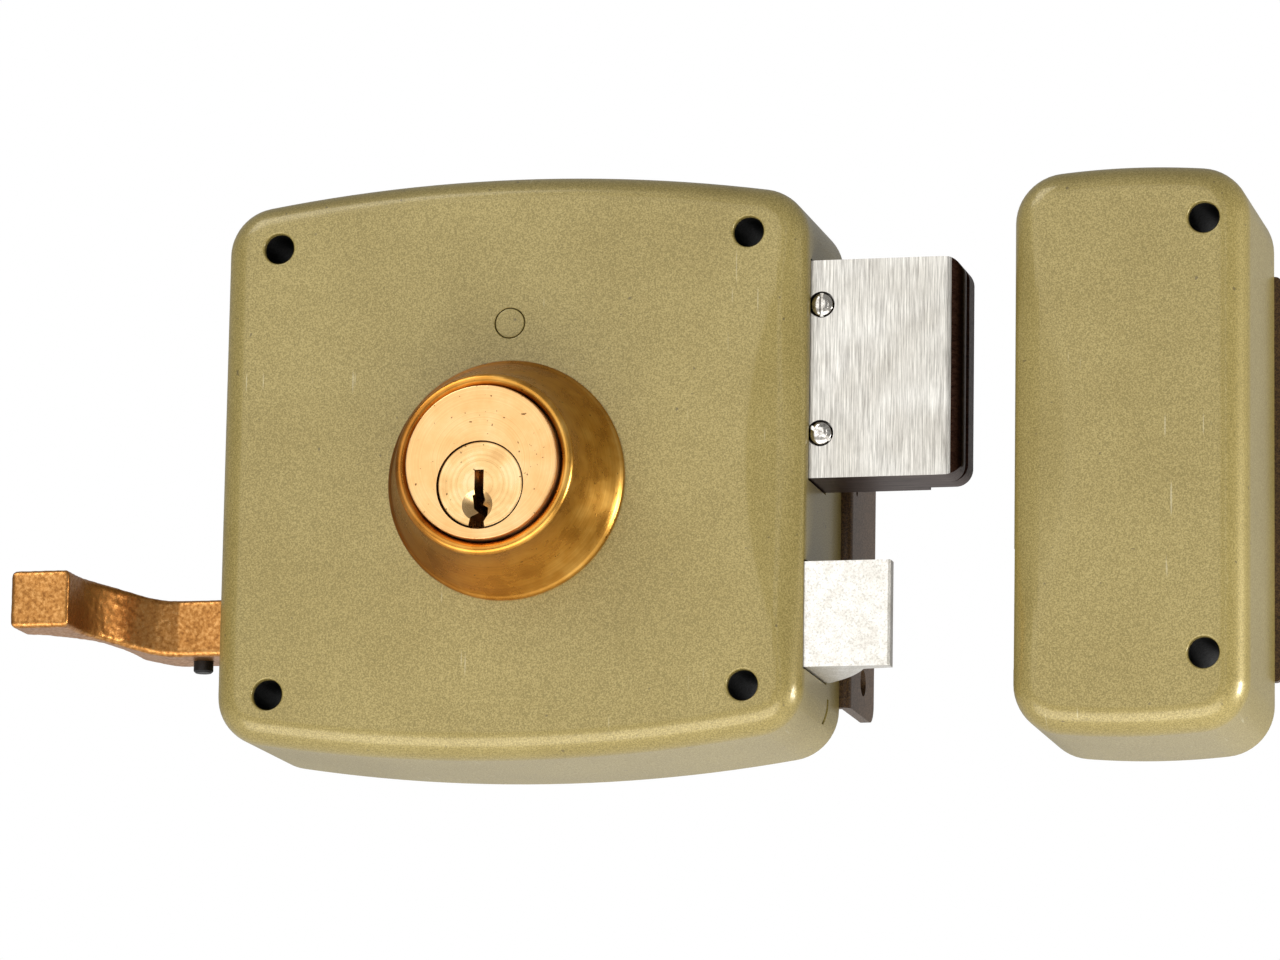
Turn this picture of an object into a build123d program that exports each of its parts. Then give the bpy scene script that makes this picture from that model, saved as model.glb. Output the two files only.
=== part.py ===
"""Rim lock with a thrown deadbolt, a sprung latch, an inside key cylinder and a box keeper.

Frame: millimetres, +X towards the keeper, +Z up, the door's face is the plane Y = 0 and the lock
stands out from it towards -Y. The origin is on the cylinder's axis, in the door's face.
A "depth" below is a distance out from the door's face, so it is -Y.
"""
import math
import os

from build123d import *

os.makedirs("parts", exist_ok=True)

# ---- case ----
case_width = 120.0
case_height = 118.0
case_centre_z = 3.5
case_depth = 40.0
case_bow_radius = 330.0
case_corner_radius = 10.0
face_edge_radius = 5.5
wall = 1.5
plate_thickness = 2.0
plate_inset = 0.8
screw_pitch_x = 97.0
screw_pitch_z = 91.0
screw_hole_radius = 3.1
sleeve_wall = 0.6
sleeve_end_gap = 0.15
scallop_reach = 11.3
scallop_radius = 106.0
scallop_depth = 2.6
rivet_z = 32.0
rivet_radius = 3.0
wall_slot_depth = 13.0
wall_slot_z = -43.5
wall_slot_length = 5.0
wall_slot_width = 1.6

# ---- flange along the door's edge ----
flange_standoff = 0.2
flange_height = 89.0
flange_reach = 22.0
flange_corner_radius = 4.0
flange_bend_radius = 1.6
flange_screw_pitch = 75.0
flange_screw_hole_radius = 2.7
flange_screw_reach = 11.0
bend_slot_reach = 3.0
bend_slot_z = 7.5
bend_slot_length = 9.0
bend_slot_width = 1.4
bend_overlap = 4.0

# ---- cylinder ----
cylinder_radius = 15.4
cylinder_proud = 20.0
cylinder_above_collar = 1.6
plug_drop = 4.5
plug_radius = 8.6
plug_clearance = 0.04
pin_count = 5
pin_pitch = 4.0
pin_radius = 1.4
pin_clearance = 0.05
pin_wire = 0.35
first_pin_inset = 6.0
keyway_width = 1.8
keyway_top = 2.8
collar_base_margin = 8.8
collar_rim_margin = 2.2
collar_clearance = 0.2
collar_foot = 1.0
collar_hollow = 0.25
collar_lip_width = 1.6
collar_lip_height = 1.8
outer_bore_radius = 15.75

# ---- key cam ----
cam_reach = 12.0
cam_hub_radius = 7.5
cam_finger_width = 5.0
cam_clearance = 0.5
plug_tail_radius = 5.0

# ---- deadbolt ----
bolt_throw = 29.0
throws = 2
bolt_height = 44.0
bolt_bottom_z = 0.0
bolt_protrusion = 30.5
bolt_thickness = 16.0
bolt_recess = 6.4
bolt_inside = 10.0
bolt_nose_length = 9.0
bolt_end_radius = 3.5
bolt_screw_radius = 2.5
bolt_screw_pitch = 26.0
tail_thickness = 3.0
tail_height = 34.0
tail_length = 76.0
bolt_window_clearance = 0.4
tail_inset = 1.4
bridge_thickness = 2.0
bridge_gap = 1.6

# ---- latch ----
latch_throw = 15.0
latch_height = 21.0
latch_sleeve_gap = 0.3
latch_protrusion = 17.0
latch_recess = 4.5
latch_thickness = 20.7
latch_tip_thickness = 3.2
latch_flat = 6.0
latch_inside = 12.0
rod_radius = 3.0
fork_hub_radius = 4.4
fork_lever_gap = 0.9
rod_clearance = 0.08
spring_wire_radius = 0.6
spring_turns = 9
bracket_width = 5.0

# ---- pull ----
pull_height = 11.5
pull_rise = 0.8
pull_bar_depth = 14.0
pull_gap = 0.5
pull_reach = 37.0
pull_stand = 26.0
pad_width = 12.0
pad_thickness = 9.5
pull_screw_inset = 7.0
pull_screw_radius = 1.5
pull_screw_head_radius = 2.0
pull_screw_head_height = 2.3

# ---- retracting lever ----
lever_length = 35.0
lever_thickness = 2.0
lever_tip_radius = 2.2
lever_gap = 0.3
lever_arm_width = 2.4
lever_tail_gap = 0.8

# ---- keeper ----
keeper_width = 46.5
keeper_height = 113.0
keeper_centre_z = 3.5
keeper_spacing = 41.5
keeper_bow_radius = 150.0
keeper_screw_pitch = 86.0
keeper_screw_centre_z = 5.5
keeper_screw_inset = 8.5
keeper_scallop_reach = 12.0
keeper_scallop_radius = 88.0
mouth_clearance = 1.5
side_strip_width = 1.6
side_strip_height = 82.0

# ---- general clearances ----
running = 0.08
loose = 0.3
press = 0.03

# ---- layers, as depths out from the door's face ----
right_x = case_width / 2
left_x = -case_width / 2
face_inside = case_depth - wall
sleeve_radius = screw_hole_radius + sleeve_wall
sleeve_front = face_inside - sleeve_end_gap
bolt_front = case_depth - bolt_recess
bolt_back = bolt_front - bolt_thickness
bolt_split = bolt_front - bolt_thickness / 2
tail_back = bolt_back + tail_inset
tail_front = tail_back + tail_thickness
bridge_back = tail_front + bridge_gap
bridge_front = bridge_back + bridge_thickness
cylinder_front = case_depth + cylinder_proud
cylinder_back = bridge_front
collar_base_radius = cylinder_radius + collar_base_margin
collar_rim_radius = cylinder_radius + collar_rim_margin
plug_z = -plug_drop
lever_front = tail_back - lever_tail_gap
lever_back = lever_front - lever_thickness
rod_depth = lever_front + fork_lever_gap + fork_hub_radius

bolt_left_x = right_x - bolt_inside
bolt_right_x = right_x + bolt_protrusion
bolt_centre_z = bolt_bottom_z + bolt_height / 2
bolt_top_z = bolt_bottom_z + bolt_height
scallop_pitch = bolt_throw / throws
drive_radius = cam_reach + cam_clearance
cusp_rise = math.sqrt(drive_radius**2 - (scallop_pitch / 2) ** 2)
tail_bottom_z = plug_z + cusp_rise + 0.2
tail_top_z = tail_bottom_z + tail_height
tail_left_x = bolt_left_x - tail_length

latch_bottom_z = case_centre_z - screw_pitch_z / 2 + sleeve_radius + latch_sleeve_gap
latch_centre_z = latch_bottom_z + latch_height / 2
latch_front = case_depth - latch_recess
latch_back = latch_front - latch_thickness
latch_left_x = right_x - latch_inside
latch_right_x = right_x + latch_protrusion

keeper_left_x = right_x + keeper_spacing
keeper_right_x = keeper_left_x + keeper_width
keeper_centre_x = keeper_left_x + keeper_width / 2
keeper_screw_x = keeper_right_x - keeper_screw_inset
inner_edge_radius = face_edge_radius - wall
sleeve_into_edge = max(0.0, face_edge_radius - keeper_screw_inset + sleeve_radius)
edge_drop = inner_edge_radius - math.sqrt(inner_edge_radius**2 - sleeve_into_edge**2)
keeper_sleeve_front = sleeve_front - edge_drop

screw_points = [
    (x, case_centre_z + z)
    for x in (-screw_pitch_x / 2, screw_pitch_x / 2)
    for z in (-screw_pitch_z / 2, screw_pitch_z / 2)
]
keeper_points = [
    (keeper_screw_x, keeper_screw_centre_z - keeper_screw_pitch / 2),
    (keeper_screw_x, keeper_screw_centre_z + keeper_screw_pitch / 2),
]


def save(builder, name):
    """Label a finished piece and write it as its own STEP file."""
    builder.part.label = name
    export_step(builder.part, f"parts/{name}.step")


def bowed_block(centre, size, bow_radius, corner, inset, back, front, edge):
    """Block whose top and bottom edges are bowed, rounded along its front edge."""
    half_width = size[0] / 2 - inset
    half_height = size[1] / 2 - inset
    sag = bow_radius - math.sqrt(bow_radius**2 - half_width**2)
    shoulder = half_height - sag
    x, z = centre
    with BuildPart() as block:
        with BuildSketch(Plane.XZ.offset(back)) as outline:
            with BuildLine():
                ThreePointArc((x - half_width, z + shoulder), (x, z + half_height), (x + half_width, z + shoulder))
                Line((x + half_width, z + shoulder), (x + half_width, z - shoulder))
                ThreePointArc((x + half_width, z - shoulder), (x, z - half_height), (x - half_width, z - shoulder))
                Line((x - half_width, z - shoulder), (x - half_width, z + shoulder))
            make_face()
            fillet(outline.vertices(), corner - inset)
        extrude(amount=front - back)
        if edge:
            fillet(block.faces().sort_by(Axis.Y)[0].edges(), edge)
    return block.part


def scallop(edge_x, side, reach, radius, centre_z, front):
    """Shallow cone that dishes a face towards one edge; side is +1 for a right-hand edge."""
    slope = scallop_depth / reach
    rim_x = edge_x - side * reach
    axis_x = rim_x + side * radius
    above = 1.0
    with BuildPart() as dish:
        with BuildSketch(Plane.XY.offset(centre_z)):
            with BuildLine():
                Polyline(
                    (rim_x - side * above / slope, -front - above),
                    (rim_x + side * 2 * reach, -front + 2 * scallop_depth),
                    (axis_x, -front + 2 * scallop_depth),
                    (axis_x, -front - above),
                    close=True,
                )
            make_face()
        revolve(axis=Axis((axis_x, 0, centre_z), (0, 1, 0)))
    return dish.part


def pins(points, radius, back, front):
    """Round pins standing out from the door, one at each (x, z) point."""
    with BuildPart() as group:
        with BuildSketch(Plane.XZ.offset(back)):
            with Locations(*points):
                Circle(radius)
        extrude(amount=front - back)
    return group.part


def tubes(points, inner, outer, back, front):
    """Round sleeves standing out from the door, one at each (x, z) point."""
    with BuildPart() as group:
        with BuildSketch(Plane.XZ.offset(back)):
            with Locations(*points):
                Circle(outer)
                Circle(inner, mode=Mode.SUBTRACT)
        extrude(amount=front - back)
    return group.part


def coil(centre, axis, length, turns, mean_radius, wire_radius):
    """Open round-wire spring that starts at a centre point and runs along an axis."""
    with BuildPart() as spring:
        with BuildLine() as path:
            Helix(pitch=length / turns, height=length, radius=mean_radius, center=centre, direction=axis)
        with BuildSketch(Plane(origin=path.line @ 0, z_dir=path.line % 0)):
            Circle(wire_radius)
        sweep()
    return spring.part


# ---------------------------------------------------------------- case
case_centre = (0.0, case_centre_z)
case_size = (case_width, case_height)
cover_outside = bowed_block(
    case_centre, case_size, case_bow_radius, case_corner_radius,
    0.0, plate_thickness, case_depth, face_edge_radius,
)
cover_inside = bowed_block(
    case_centre, case_size, case_bow_radius, case_corner_radius,
    wall, plate_thickness - 1.0, face_inside, face_edge_radius - wall,
)
case_dish = scallop(right_x, 1, scallop_reach, scallop_radius, case_centre_z, case_depth)
case_dish_inside = scallop(right_x, 1, scallop_reach, scallop_radius, case_centre_z, face_inside)

with BuildPart() as inner_space:
    add(cover_inside)
    add(case_dish_inside, mode=Mode.SUBTRACT)

with BuildPart() as case_cover:
    add(cover_outside)
    add(case_dish, mode=Mode.SUBTRACT)
    add(inner_space.part, mode=Mode.SUBTRACT)
    with BuildSketch(Plane.XZ.offset(case_depth + 1.0)):
        with Locations(*screw_points):
            Circle(screw_hole_radius)
        Circle(cylinder_radius + collar_clearance)
        with Locations((0, rivet_z)):
            Circle(rivet_radius + press)
    extrude(amount=-2 * wall - 3.0, mode=Mode.SUBTRACT)
    with BuildSketch(Plane.YZ.offset(right_x - wall - 1.0)):
        with Locations((-(bolt_front + bolt_back) / 2, bolt_centre_z)):
            Rectangle(bolt_thickness + 2 * bolt_window_clearance, bolt_height + 2 * bolt_window_clearance)
        with Locations((-(latch_front + latch_back) / 2, latch_centre_z)):
            Rectangle(latch_thickness + 2 * bolt_window_clearance, latch_height + 2 * bolt_window_clearance)
        with Locations((-wall_slot_depth, wall_slot_z)):
            SlotOverall(wall_slot_length, wall_slot_width, rotation=90)
    extrude(amount=wall + 2.0, mode=Mode.SUBTRACT)
    with BuildSketch(Plane.YZ.offset(left_x - 1.0)):
        with Locations((-rod_depth, latch_centre_z)):
            Circle(rod_radius + loose)
    extrude(amount=wall + 2.0, mode=Mode.SUBTRACT)
save(case_cover, "case_cover")

# The back plate carries the works, and its right-hand edge is bent back along the door's edge.
flange_inside_x = right_x + flange_standoff
flange_outside_x = flange_inside_x + plate_thickness
flange_bottom_z = case_centre_z - flange_height / 2
plate_blank = bowed_block(
    case_centre, case_size, case_bow_radius, case_corner_radius,
    plate_inset, 0.0, plate_thickness, 0.0,
)
with BuildPart() as back_plate:
    add(plate_blank)
    with BuildSketch(Plane.XY.offset(flange_bottom_z)) as bend:
        with BuildLine():
            Polyline(
                (right_x - bend_overlap, -plate_thickness),
                (flange_outside_x, -plate_thickness),
                (flange_outside_x, flange_reach),
                (flange_inside_x, flange_reach),
                (flange_inside_x, 0),
                (right_x - bend_overlap, 0),
                close=True,
            )
        make_face()
        corner_out = bend.vertices().group_by(Axis.X)[-1].sort_by(Axis.Y)[0]
        fillet(corner_out, flange_bend_radius)
    extrude(amount=flange_height)
    far_corners = (
        back_plate.edges()
        .filter_by(Axis.X)
        .filter_by(lambda edge: edge.center().Y > flange_reach - 0.01)
    )
    fillet(far_corners, flange_corner_radius)
    with BuildSketch(Plane.XZ):
        with Locations(*screw_points):
            Circle(screw_hole_radius)
        Circle(outer_bore_radius)
    extrude(amount=plate_thickness, mode=Mode.SUBTRACT)
    with BuildSketch(Plane.YZ.offset(flange_inside_x)):
        with Locations(
            (flange_screw_reach, case_centre_z - flange_screw_pitch / 2),
            (flange_screw_reach, case_centre_z + flange_screw_pitch / 2),
        ):
            Circle(flange_screw_hole_radius)
        with Locations((bend_slot_reach, bend_slot_z)):
            SlotOverall(bend_slot_length, bend_slot_width, rotation=90)
    extrude(amount=plate_thickness, mode=Mode.SUBTRACT)
save(back_plate, "back_plate")

with BuildPart() as screw_sleeves:
    add(tubes(screw_points, screw_hole_radius, sleeve_radius, plate_thickness, sleeve_front))
save(screw_sleeves, "screw_sleeves")

with BuildPart() as face_rivet:
    add(pins([(0, rivet_z)], rivet_radius, bridge_front, case_depth))
save(face_rivet, "face_rivet")

# ---------------------------------------------------------------- cylinder
with BuildPart() as collar:
    with BuildSketch(Plane.XY):
        with BuildLine():
            bore = cylinder_radius + collar_clearance
            rim = cylinder_front - cylinder_above_collar
            Line((bore, -case_depth), (collar_base_radius, -case_depth))
            Line((collar_base_radius, -case_depth), (collar_base_radius, -case_depth - collar_foot))
            ThreePointArc(
                (collar_base_radius, -case_depth - collar_foot),
                (
                    (collar_base_radius + collar_rim_radius) / 2 - collar_hollow,
                    -(case_depth + collar_foot + rim - collar_lip_height) / 2,
                ),
                (collar_rim_radius, -rim + collar_lip_height),
            )
            ThreePointArc(
                (collar_rim_radius, -rim + collar_lip_height),
                (collar_rim_radius - collar_lip_width / 3, -rim + collar_lip_height / 4),
                (collar_rim_radius - collar_lip_width, -rim),
            )
            Line((collar_rim_radius - collar_lip_width, -rim), (bore, -rim + 0.3))
            Line((bore, -rim + 0.3), (bore, -case_depth))
        make_face()
    revolve(axis=Axis.Y)
save(collar, "collar")

pin_depths = [cylinder_front - first_pin_inset - pin_pitch * index for index in range(pin_count)]
plug_top_z = plug_z + plug_radius
key_pin_top_z = plug_z + math.sqrt(plug_radius**2 - pin_radius**2) - 0.08
key_pin_bottom_z = plug_z + keyway_top - 1.2
driver_bottom_z = plug_top_z + plug_clearance + 0.1
driver_top_z = driver_bottom_z + 3.6
chamber_plug_thickness = 1.5
chamber_top_z = cylinder_radius - 0.3
spring_top_z = chamber_top_z - chamber_plug_thickness
body_screw_points = [(-10.0, 7.0), (10.0, 7.0)]
body_screw_radius = 1.5
body_screw_head_radius = 2.8
body_screw_length = 9.0


def chamber_row(radius, bottom_z, top_z):
    """One upright round bar in each pin chamber."""
    with BuildPart() as row:
        with BuildSketch(Plane.XY.offset(bottom_z)):
            with Locations(*[(0, -depth) for depth in pin_depths]):
                Circle(radius)
        extrude(amount=top_z - bottom_z)
    return row.part


chamber_radius = pin_radius + pin_clearance
body_chambers = chamber_row(chamber_radius, plug_z, cylinder_radius + 1.0)
plug_chambers = chamber_row(chamber_radius, key_pin_bottom_z - 0.2, plug_top_z + 1.0)

with BuildPart() as cylinder_body:
    with BuildSketch(Plane.XZ.offset(cylinder_back)):
        Circle(cylinder_radius)
        with Locations((0, plug_z)):
            Circle(plug_radius + plug_clearance, mode=Mode.SUBTRACT)
    extrude(amount=cylinder_front - cylinder_back)
    chamfer(cylinder_body.edges().filter_by(GeomType.CIRCLE).group_by(Axis.Y)[0].sort_by(SortBy.LENGTH)[-1], 0.5)
    add(body_chambers, mode=Mode.SUBTRACT)
    with BuildSketch(Plane.XZ.offset(cylinder_back)):
        with Locations(*body_screw_points):
            Circle(body_screw_radius)
    extrude(amount=body_screw_length, mode=Mode.SUBTRACT)
save(cylinder_body, "cylinder_body")

with BuildPart() as key_plug:
    with BuildSketch(Plane.XZ.offset(cylinder_back)):
        with Locations((0, plug_z)):
            Circle(plug_radius)
    extrude(amount=cylinder_front + 0.1 - cylinder_back)
    with BuildSketch(Plane.XZ.offset(tail_back)):
        with Locations((0, plug_z)):
            Circle(plug_tail_radius)
    extrude(amount=cylinder_back - tail_back)
    keyway_height = keyway_top + plug_radius + 1.0
    with BuildSketch(Plane.XZ.offset(cylinder_back + 2.0)):
        with Locations((0, plug_z + keyway_top - keyway_height / 2)):
            Rectangle(keyway_width, keyway_height)
    extrude(amount=cylinder_front - cylinder_back, mode=Mode.SUBTRACT)
    add(plug_chambers, mode=Mode.SUBTRACT)
    with BuildSketch(Plane.XZ.offset(tail_back)):
        with Locations((0, plug_z)):
            Circle(1.5)
    extrude(amount=6.0, mode=Mode.SUBTRACT)
save(key_plug, "key_plug")

with BuildPart() as key_pins:
    add(chamber_row(pin_radius, key_pin_bottom_z, key_pin_top_z))
    chamfer(key_pins.edges().group_by(Axis.Z)[0], 0.6)
save(key_pins, "key_pins")

with BuildPart() as driver_pins:
    add(chamber_row(pin_radius, driver_bottom_z, driver_top_z))
    chamfer(driver_pins.edges().group_by(Axis.Z)[-1], 0.3)
save(driver_pins, "driver_pins")

with BuildPart() as chamber_plugs:
    add(chamber_row(chamber_radius - press, spring_top_z, chamber_top_z))
save(chamber_plugs, "chamber_plugs")

spring_seat_gap = pin_wire / 2 + 0.05
with BuildPart() as pin_springs:
    for depth in pin_depths:
        add(
            coil(
                (0, -depth, driver_top_z + spring_seat_gap), (0, 0, 1),
                spring_top_z - driver_top_z - 2 * spring_seat_gap, 5, pin_radius - pin_wire, pin_wire / 2,
            )
        )
save(pin_springs, "pin_springs")

with BuildPart() as plug_clip:
    add(tubes([(0, plug_z)], plug_tail_radius + press, plug_radius + 0.3, cylinder_back - 1.1, cylinder_back - 0.1))
save(plug_clip, "plug_clip")

with BuildPart() as key_cam:
    with BuildSketch(Plane.XZ.offset(tail_back + 0.1)) as cam_outline:
        with Locations((0, plug_z)):
            Circle(cam_hub_radius)
        with Locations((0, plug_z + (cam_reach - 0.6) / 2)):
            Rectangle(cam_finger_width, cam_reach - 0.6)
        with BuildLine():
            tip_half = cam_finger_width / 2
            tip_z = plug_z + math.sqrt(cam_reach**2 - tip_half**2)
            Line((-tip_half, tip_z), (-tip_half, plug_z))
            Line((-tip_half, plug_z), (tip_half, plug_z))
            Line((tip_half, plug_z), (tip_half, tip_z))
            ThreePointArc((tip_half, tip_z), (0, plug_z + cam_reach), (-tip_half, tip_z))
        make_face()
        with Locations((0, plug_z)):
            Circle(plug_tail_radius + press, mode=Mode.SUBTRACT)
    extrude(amount=tail_thickness - 0.2)
save(key_cam, "key_cam")

with BuildPart() as cam_screw:
    add(pins([(0, plug_z)], 1.5 - press, tail_back, tail_back + 5.5))
    add(pins([(0, plug_z)], plug_tail_radius + 1.5, tail_back - 1.2, tail_back))
save(cam_screw, "cam_screw")

# ---------------------------------------------------------------- bridge that holds the cylinder
pillar_points = [(-34.0, -4.0), (bolt_left_x - bolt_throw + 1.0, -9.0), (0.0, 45.5)]
pillar_radius = 3.2
with BuildPart() as cylinder_bridge:
    with BuildSketch(Plane.XZ.offset(bridge_back)) as bridge_outline:
        with BuildLine():
            Polyline(
                (pillar_points[0][0] - 5.0, pillar_points[0][1] - 5.0),
                (pillar_points[1][0] + 4.0, pillar_points[1][1] - 5.0),
                (pillar_points[1][0] + 4.0, pillar_points[1][1] + 4.0),
                (bolt_left_x - bolt_throw - 2.0, bolt_bottom_z - 3.0),
                (cylinder_radius - 1.5, cylinder_radius),
                (pillar_points[2][0] + 5.0, pillar_points[2][1] + 5.0),
                (pillar_points[2][0] - 5.0, pillar_points[2][1] + 5.0),
                (-cylinder_radius, 24.0),
                (pillar_points[0][0] - 5.0, pillar_points[0][1] + 5.0),
                close=True,
            )
        make_face()
        fillet(bridge_outline.vertices(), 3.0)
        with Locations((0, plug_z)):
            Circle(plug_radius + 0.8, mode=Mode.SUBTRACT)
    extrude(amount=bridge_thickness)
    for point in body_screw_points:
        with Locations(Plane.XZ.offset(bridge_back)):
            with Locations(point):
                Cone(
                    body_screw_head_radius + press, body_screw_radius + press, bridge_thickness,
                    align=(Align.CENTER, Align.CENTER, Align.MIN), mode=Mode.SUBTRACT,
                )
save(cylinder_bridge, "cylinder_bridge")

with BuildPart() as bridge_pillars:
    add(pins(pillar_points, pillar_radius, plate_thickness, bridge_back))
save(bridge_pillars, "bridge_pillars")

with BuildPart() as cylinder_screws:
    for point in body_screw_points:
        with Locations(Plane.XZ.offset(bridge_back)):
            with Locations(point):
                Cone(
                    body_screw_head_radius, body_screw_radius, bridge_thickness,
                    align=(Align.CENTER, Align.CENTER, Align.MIN),
                )
    add(pins(body_screw_points, body_screw_radius - press, bridge_front - 0.2, cylinder_back + body_screw_length - 1.0))
save(cylinder_screws, "cylinder_screws")

# ---------------------------------------------------------------- deadbolt
bolt_middle_x = (bolt_left_x + bolt_right_x) / 2
bolt_screw_x = right_x + 2.2
bolt_screw_points = [(bolt_screw_x, bolt_centre_z - bolt_screw_pitch / 2), (bolt_screw_x, bolt_centre_z + bolt_screw_pitch / 2)]
bolt_head_thickness = bolt_front - bolt_split
screw_head_depth = 2.0
screw_shank_radius = 1.6


def end_block(left, right, back, front, round_edge):
    """Bolt layer with rounded upper and lower right-hand corners and one long rounded end edge."""
    with BuildPart() as block:
        with BuildSketch(Plane.XZ.offset(back)):
            with Locations(((left + right) / 2, bolt_centre_z)):
                Rectangle(right - left, bolt_height)
        extrude(amount=front - back)
        end_corners = block.edges().filter_by(Axis.Y).group_by(Axis.X)[-1]
        fillet(end_corners, bolt_end_radius)
        end_edges = block.faces().sort_by(Axis.Y)[round_edge].edges()
        fillet(end_edges.filter_by(lambda edge: edge.center().X > right - bolt_end_radius), bolt_end_radius - 0.6)
    return block.part


with BuildPart() as bolt_head:
    add(end_block(bolt_left_x, bolt_right_x, bolt_split, bolt_front, 0))
    with BuildSketch(Plane.XZ.offset(bolt_front)):
        with Locations(*bolt_screw_points):
            Circle(bolt_screw_radius + press)
    extrude(amount=-screw_head_depth, mode=Mode.SUBTRACT)
    with BuildSketch(Plane.XZ.offset(bolt_front)):
        with Locations(*bolt_screw_points):
            Circle(screw_shank_radius + press)
    extrude(amount=-bolt_head_thickness, mode=Mode.SUBTRACT)
save(bolt_head, "bolt_head")

with BuildPart() as bolt_nose:
    add(end_block(bolt_right_x - bolt_nose_length, bolt_right_x, bolt_back, bolt_split, -1))
save(bolt_nose, "bolt_nose")

slot_radius = 2.3
post_radius = 2.0
post_base_radius = 3.4
post_points = [(-14.0, tail_bottom_z + 27.0), (17.0, tail_bottom_z + 16.0)]
with BuildPart() as bolt_slide:
    with BuildSketch(Plane.XZ.offset(bolt_back)):
        with Locations(((bolt_left_x + bolt_right_x - bolt_nose_length) / 2, bolt_centre_z)):
            Rectangle(bolt_right_x - bolt_nose_length - bolt_left_x, bolt_height)
    extrude(amount=bolt_split - bolt_back)
    with BuildSketch(Plane.XZ.offset(tail_back)):
        with Locations(((tail_left_x + bolt_left_x) / 2 + 1.0, (tail_bottom_z + tail_top_z) / 2)):
            Rectangle(tail_length + 2.0, tail_height)
        with Locations(*[(scallop_pitch * step, plug_z) for step in range(throws + 1)]):
            Circle(drive_radius, mode=Mode.SUBTRACT)
        with Locations(*[(x + bolt_throw / 2, z) for x, z in post_points]):
            SlotCenterToCenter(bolt_throw + 1.0, 2 * slot_radius, mode=Mode.SUBTRACT)
    extrude(amount=tail_thickness)
    with BuildSketch(Plane.XZ.offset(bolt_split)):
        with Locations(*bolt_screw_points):
            Circle(screw_shank_radius + press)
    extrude(amount=-5.0, mode=Mode.SUBTRACT)
save(bolt_slide, "bolt_slide")

with BuildPart() as bolt_screws:
    add(pins(bolt_screw_points, bolt_screw_radius, bolt_front - screw_head_depth, bolt_front - 0.05))
    add(pins(bolt_screw_points, screw_shank_radius, bolt_split - 4.5, bolt_front - screw_head_depth))
    with BuildSketch(Plane.XZ.offset(bolt_front)):
        with Locations(bolt_screw_points[0]):
            Rectangle(2 * bolt_screw_radius + 1, 0.8, rotation=35)
        with Locations(bolt_screw_points[1]):
            Rectangle(0.8, 2 * bolt_screw_radius + 1)
    extrude(amount=-0.9, mode=Mode.SUBTRACT)
save(bolt_screws, "bolt_screws")

with BuildPart() as bolt_guide_posts:
    add(pins(post_points, post_base_radius, plate_thickness, tail_back - loose))
    add(pins(post_points, post_radius, plate_thickness, bridge_back - 0.8))
save(bolt_guide_posts, "bolt_guide_posts")

leaf_thickness = 0.6
leaf_post = (-36.0, tail_top_z + 6.5)
leaf_post_radius = 2.5
with BuildPart() as detent_spring:
    with BuildSketch(Plane.XZ.offset(tail_back - 1.0)) as leaf_outline:
        with BuildLine():
            contact_z = tail_top_z + loose + leaf_thickness / 2
            Polyline(
                (leaf_post[0] - 4.0, leaf_post[1] - leaf_post_radius - leaf_thickness / 2 - 0.02),
                (leaf_post[0] + 5.0, leaf_post[1] - leaf_post_radius - leaf_thickness / 2 - 0.02),
                (leaf_post[0] + 22.0, contact_z + 0.3),
                (leaf_post[0] + 26.0, contact_z + 0.3),
                (leaf_post[0] + 29.0, contact_z + 2.4),
            )
        trace(line_width=leaf_thickness)
    extrude(amount=tail_thickness + 2.0)
save(detent_spring, "detent_spring")

with BuildPart() as detent_post:
    add(pins([leaf_post], leaf_post_radius, plate_thickness, tail_front + 1.0))
save(detent_post, "detent_post")

# ---------------------------------------------------------------- latch
rod_left_x = left_x - 13.0
with BuildPart() as latch_head:
    with BuildSketch(Plane.XY.offset(latch_bottom_z)):
        with BuildLine():
            tip_back = latch_front - latch_tip_thickness
            Polyline(
                (right_x + 0.8, -latch_back),
                (latch_left_x, -latch_back),
                (latch_left_x, -latch_front),
                (latch_right_x, -latch_front),
                (latch_right_x, -tip_back),
                (latch_right_x - latch_flat, -tip_back + 0.8),
            )
            ThreePointArc(
                (latch_right_x - latch_flat, -tip_back + 0.8),
                (latch_right_x - latch_flat - 4.4, -(tip_back + latch_back) / 2 + 1.2),
                (right_x + 0.8, -latch_back),
            )
        make_face()
    extrude(amount=latch_height)
    with BuildSketch(Plane.YZ.offset(latch_left_x)):
        with Locations((-rod_depth, latch_centre_z)):
            Circle(rod_radius + press)
    extrude(amount=8.0, mode=Mode.SUBTRACT)
    chamfer(latch_head.edges().filter_by(Axis.Z).group_by(Axis.X)[-1].sort_by(Axis.Y)[0], 0.5)
save(latch_head, "latch_head")

with BuildPart() as latch_rod:
    with BuildSketch(Plane.YZ.offset(rod_left_x)):
        with Locations((-rod_depth, latch_centre_z)):
            Circle(rod_radius)
    extrude(amount=latch_left_x + 7.5 - rod_left_x)
save(latch_rod, "latch_rod")

lever_swing = math.asin(latch_throw / 2 / lever_length)
fork_x = -12.0
pivot_x = fork_x - latch_throw / 2
pivot_z = latch_centre_z + lever_length
fork_half = lever_tip_radius + lever_gap
fork_flange = 2.0
fork_flange_radius = 6.8
with BuildPart() as rod_fork:
    for start, length, radius in (
        (fork_x - fork_half - fork_flange, fork_flange, fork_flange_radius),
        (fork_x - fork_half, 2 * fork_half, fork_hub_radius),
        (fork_x + fork_half, fork_flange, fork_flange_radius),
    ):
        with BuildSketch(Plane.YZ.offset(start)):
            with Locations((-rod_depth, latch_centre_z)):
                Circle(radius)
                Circle(rod_radius + press, mode=Mode.SUBTRACT)
        extrude(amount=length)
save(rod_fork, "rod_fork")

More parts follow.
